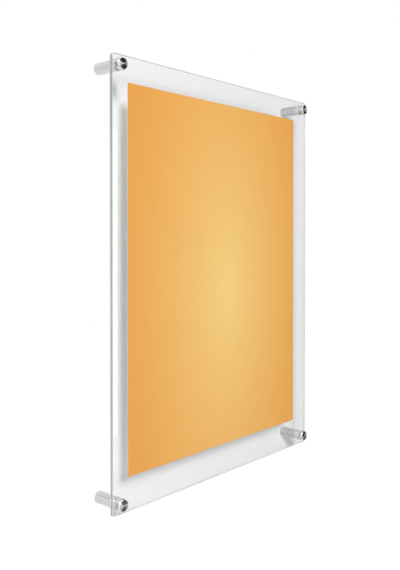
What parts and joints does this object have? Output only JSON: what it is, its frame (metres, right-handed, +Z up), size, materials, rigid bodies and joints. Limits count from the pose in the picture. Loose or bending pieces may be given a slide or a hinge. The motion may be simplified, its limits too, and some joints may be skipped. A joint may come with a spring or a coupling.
{
  "type": "acrylic photo frame",
  "caption": "Wall-mounted photo frame that holds a print between two clear acrylic sheets on metal standoffs with screw-on caps.",
  "frame": {"origin": "on the wall plane, behind the middle of the clear sheets", "axes": "+X to the right seen from the front, +Y into the wall, +Z up"},
  "size_m": [0.532, 0.0949, 0.702],
  "materials": {
    "acrylic": "polished",
    "print": "satin",
    "barrel_metal": "satin",
    "cap_metal": "polished",
    "stud_metal": "gloss",
    "screw_metal": "gloss",
    "washer": "satin",
    "plug": "satin"
  },
  "bodies": {
    "wall_side": {"barrel_top_left": "barrel_metal", "barrel_top_right": "barrel_metal", "barrel_bottom_left": "barrel_metal", "barrel_bottom_right": "barrel_metal", "rear_washer_top_left": "washer", "rear_washer_top_right": "washer", "rear_washer_bottom_left": "washer", "rear_washer_bottom_right": "washer", "wall_screw_top_left": "screw_metal", "wall_screw_top_right": "screw_metal", "wall_screw_bottom_left": "screw_metal", "wall_screw_bottom_right": "screw_metal", "wall_plug_top_left": "plug", "wall_plug_top_right": "plug", "wall_plug_bottom_left": "plug", "wall_plug_bottom_right": "plug"},
    "rear_panel": {"rear_panel": "acrylic"},
    "print": {"print_sheet": "print"},
    "front_panel": {"front_panel": "acrylic"},
    "washer_top_left": {"front_washer_top_left": "washer"},
    "cap_top_left": {"cap_top_left": "cap_metal", "stud_top_left": "stud_metal"},
    "washer_top_right": {"front_washer_top_right": "washer"},
    "cap_top_right": {"cap_top_right": "cap_metal", "stud_top_right": "stud_metal"},
    "washer_bottom_left": {"front_washer_bottom_left": "washer"},
    "cap_bottom_left": {"cap_bottom_left": "cap_metal", "stud_bottom_left": "stud_metal"},
    "washer_bottom_right": {"front_washer_bottom_right": "washer"},
    "cap_bottom_right": {"cap_bottom_right": "cap_metal", "stud_bottom_right": "stud_metal"}
  },
  "joints": [
    {"name": "rear_panel_slide", "type": "slide", "parent": "wall_side", "child": "rear_panel", "axis": [0, -1, 0], "range_m": [0, 0.04]},
    {"name": "print_slide", "type": "slide", "parent": "rear_panel", "child": "print", "axis": [0, -1, 0], "range_m": [0, 0.04]},
    {"name": "front_panel_slide", "type": "slide", "parent": "print", "child": "front_panel", "axis": [0, -1, 0], "range_m": [0, 0.04]},
    {"name": "cap_travel_top_left", "type": "slide", "parent": "front_panel", "child": "washer_top_left", "axis": [0, -1, 0], "range_m": [0, 0.0125]},
    {"name": "cap_turn_top_left", "type": "hinge", "parent": "washer_top_left", "child": "cap_top_left", "pos_m": [-0.2515, -0.05, 0.3355], "axis": [0, -1, 0], "range_deg": [0, 3600]},
    {"name": "cap_travel_top_right", "type": "slide", "parent": "front_panel", "child": "washer_top_right", "axis": [0, -1, 0], "range_m": [0, 0.0125]},
    {"name": "cap_turn_top_right", "type": "hinge", "parent": "washer_top_right", "child": "cap_top_right", "pos_m": [0.2515, -0.05, 0.3355], "axis": [0, -1, 0], "range_deg": [0, 3600]},
    {"name": "cap_travel_bottom_left", "type": "slide", "parent": "front_panel", "child": "washer_bottom_left", "axis": [0, -1, 0], "range_m": [0, 0.0125]},
    {"name": "cap_turn_bottom_left", "type": "hinge", "parent": "washer_bottom_left", "child": "cap_bottom_left", "pos_m": [-0.2515, -0.05, -0.3355], "axis": [0, -1, 0], "range_deg": [0, 3600]},
    {"name": "cap_travel_bottom_right", "type": "slide", "parent": "front_panel", "child": "washer_bottom_right", "axis": [0, -1, 0], "range_m": [0, 0.0125]},
    {"name": "cap_turn_bottom_right", "type": "hinge", "parent": "washer_bottom_right", "child": "cap_bottom_right", "pos_m": [0.2515, -0.05, -0.3355], "axis": [0, -1, 0], "range_deg": [0, 3600]}
  ],
  "couplings": [
    {"joint": "cap_travel_top_left", "follows": "cap_turn_top_left", "m_per_rad": 0.00019894},
    {"joint": "cap_travel_top_right", "follows": "cap_turn_top_right", "m_per_rad": 0.00019894},
    {"joint": "cap_travel_bottom_left", "follows": "cap_turn_bottom_left", "m_per_rad": 0.00019894},
    {"joint": "cap_travel_bottom_right", "follows": "cap_turn_bottom_right", "m_per_rad": 0.00019894}
  ]
}
